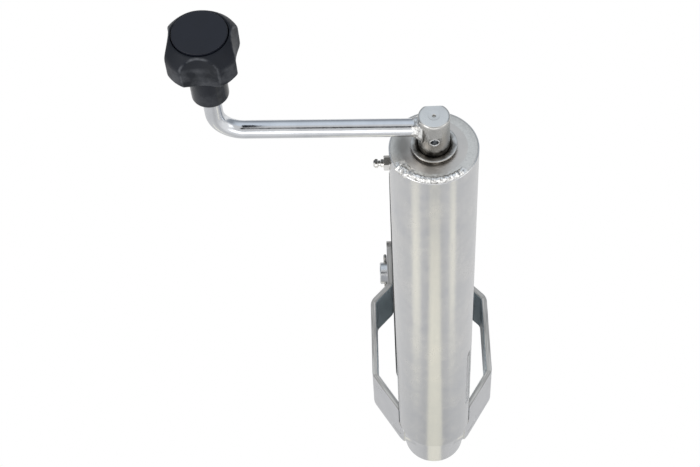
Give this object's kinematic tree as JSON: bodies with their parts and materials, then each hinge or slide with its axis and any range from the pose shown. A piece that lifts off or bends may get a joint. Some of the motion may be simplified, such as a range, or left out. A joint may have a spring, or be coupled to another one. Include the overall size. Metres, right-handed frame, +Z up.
{
  "type": "jockey wheel",
  "caption": "Fold-up trailer jockey wheel: round barrel with a crank handle and knob on top, a screw-driven inner tube, and a bent flat-bar fork that folds with its solid wheel.",
  "frame": {"origin": "centre of the barrel's top face, on the tube axis", "axes": "+Z up along the tube axis, +Y toward the folded wheel, +X the wheel axle's direction, away from the crank handle"},
  "size_m": [0.215, 0.2805, 0.616],
  "materials": {
    "zinc_steel": "zinc plated, satin",
    "bolt_zinc": "zinc plated, bright",
    "weld_steel": "plated weld, rippled",
    "bearing_steel": "ground and hardened",
    "machined_steel": "machined, greased",
    "spring_steel": "blued spring steel",
    "guide_plastic": "natural nylon",
    "knob_plastic": "moulded, fine texture",
    "tyre_rubber": "solid rubber, satin",
    "rim_plastic": "moulded grey",
    "bush_bronze": "sintered bronze, oiled"
  },
  "bodies": {
    "barrel": {"outer_tube": "zinc_steel", "top_cap": "zinc_steel", "cap_weld": "weld_steel", "collar_bush": "bolt_zinc", "upper_race": "bearing_steel", "ball_set": "bearing_steel", "grease_nipple": "bolt_zinc", "guide_liner": "guide_plastic"},
    "crank": {"lower_race": "bearing_steel", "spindle": "machined_steel", "end_washer": "bolt_zinc", "end_pin": "spring_steel", "crank_boss": "zinc_steel", "crank_bar": "zinc_steel", "crank_weld": "weld_steel", "spring_pin": "spring_steel", "knob_clip": "spring_steel"},
    "knob_grip": {"knob": "knob_plastic", "knob_cap": "knob_plastic"},
    "nut": {"spindle_nut": "machined_steel", "guide_screw": "spring_steel", "swivel_clip": "spring_steel", "swivel_washer": "bearing_steel"},
    "leg": {"inner_tube": "zinc_steel", "pivot_bushes": "bush_bronze"},
    "fork": {"fork_leg_left": "zinc_steel", "fork_leg_right": "zinc_steel", "pivot_pin": "bolt_zinc", "stop_tongue": "zinc_steel", "axle": "bolt_zinc", "split_pins": "spring_steel"},
    "wheel": {"tyre": "tyre_rubber", "wheel_rim": "rim_plastic", "hub_bushes": "guide_plastic"}
  },
  "joints": [
    {"name": "crank_turn", "type": "hinge", "parent": "barrel", "child": "crank", "pos_m": [0, 0, 0], "axis": [0, 0, 1], "range_deg": [0, 7020]},
    {"name": "nut_slide", "type": "slide", "parent": "barrel", "child": "nut", "axis": [0, 0, -1], "range_m": [0, 0.0781]},
    {"name": "leg_swivel", "type": "hinge", "parent": "nut", "child": "leg", "pos_m": [0, 0, -0.272], "axis": [0, 0, 1], "continuous": true},
    {"name": "fork_fold", "type": "hinge", "parent": "leg", "child": "fork", "pos_m": [0, 0, -0.408], "axis": [-1, 0, 0], "range_deg": [0, 100]},
    {"name": "wheel_spin", "type": "hinge", "parent": "fork", "child": "wheel", "pos_m": [0, 0.1505, -0.397], "axis": [1, 0, 0], "continuous": true},
    {"name": "knob_spin", "type": "hinge", "parent": "crank", "child": "knob_grip", "pos_m": [-0.14122, 0.00468, 0.08], "axis": [0, 0, 1], "continuous": true}
  ],
  "couplings": [
    {"joint": "nut_slide", "follows": "crank_turn", "m_per_rad": 0.00063662}
  ]
}
